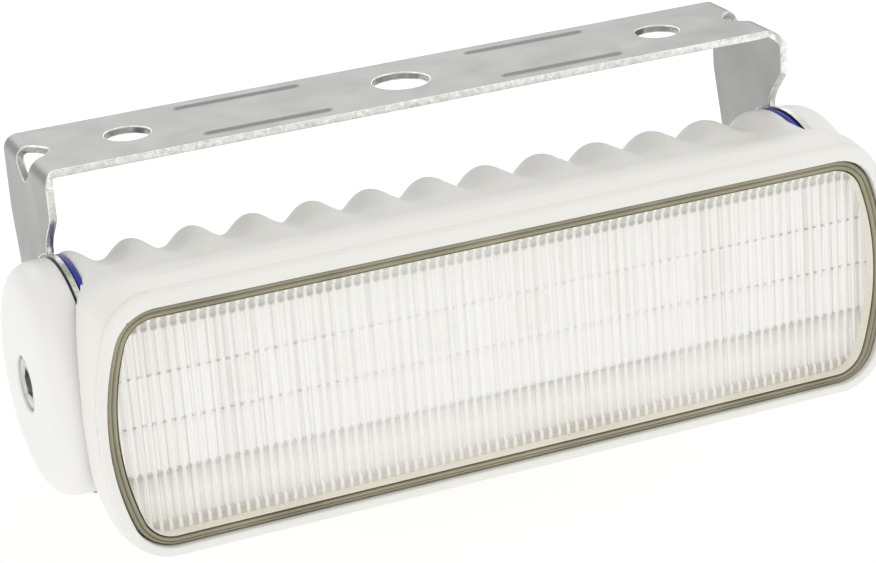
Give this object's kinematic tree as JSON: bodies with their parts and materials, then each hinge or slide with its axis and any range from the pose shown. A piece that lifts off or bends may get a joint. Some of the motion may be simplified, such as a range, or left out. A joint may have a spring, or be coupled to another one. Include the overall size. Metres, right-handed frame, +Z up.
{
  "type": "fog light",
  "caption": "White bar-shaped LED fog light with a fluted clear lens and a ridged back, clamped to tilt in a U-shaped stainless bracket.",
  "frame": {"origin": "centre of the top face of the bracket's plate, which is the middle of its centre hole and the face that is bolted up", "axes": "+X along the lamp towards its right end as seen from behind the lens's back, -Y the way the lens faces at rest, +Z up, out of the plate's top face"},
  "size_m": [0.1676, 0.066, 0.0639],
  "materials": {
    "brushed_sheet": "brushed stainless sheet, edges polished",
    "white_shell": "satin white, very fine grain",
    "blue_ring": "satin blue",
    "steel_fastener": "plain stainless",
    "brass_insert": "plain",
    "olive_seal": "soft olive-grey seal",
    "clear_lens": "clear, upright flutes inside",
    "bright_reflector": "bright metallised white",
    "white_board": "white solder mask",
    "grey_pad": "soft filled pad",
    "plain_aluminium": "plain",
    "green_board": "green solder mask",
    "black_moulding": "fine grain",
    "black_rubber": "matt",
    "led_phosphor": "yellow phosphor"
  },
  "bodies": {
    "mount": {"bracket": "brushed_sheet", "left_end_cap": "white_shell", "right_end_cap": "white_shell"},
    "lamp": {"housing": "white_shell", "left_friction_ring": "blue_ring", "right_friction_ring": "blue_ring", "upper_left_spreader_screw": "steel_fastener", "upper_right_spreader_screw": "steel_fastener", "lower_left_spreader_screw": "steel_fastener", "lower_right_spreader_screw": "steel_fastener", "left_driver_screw": "steel_fastener", "right_driver_screw": "steel_fastener", "left_threaded_insert": "brass_insert", "right_threaded_insert": "brass_insert", "lens_gasket": "olive_seal", "lens": "clear_lens", "reflector": "bright_reflector", "led_board": "white_board", "thermal_pad": "grey_pad", "heat_spreader": "plain_aluminium", "driver_capacitor": "plain_aluminium", "driver_board": "green_board", "driver_inductor": "black_moulding", "gland_body": "black_moulding", "gland_nut": "black_moulding", "gland_seal": "black_rubber", "led_1": "led_phosphor", "led_2": "led_phosphor", "led_3": "led_phosphor", "led_4": "led_phosphor", "led_5": "led_phosphor", "led_6": "led_phosphor"},
    "left_bolt": {"left_clamp_bolt": "steel_fastener"},
    "right_bolt": {"right_clamp_bolt": "steel_fastener"}
  },
  "joints": [
    {"name": "lamp_tilt", "type": "hinge", "parent": "mount", "child": "lamp", "pos_m": [0, -0.0157, -0.03815], "axis": [1, 0, 0], "range_deg": [-38, 90]},
    {"name": "left_bolt_turn", "type": "hinge", "parent": "lamp", "child": "left_bolt", "pos_m": [-0.08, -0.0157, -0.03815], "axis": [-1, 0, 0], "range_deg": [0, 180]},
    {"name": "right_bolt_turn", "type": "hinge", "parent": "lamp", "child": "right_bolt", "pos_m": [0.08, -0.0157, -0.03815], "axis": [1, 0, 0], "range_deg": [0, 180]}
  ]
}
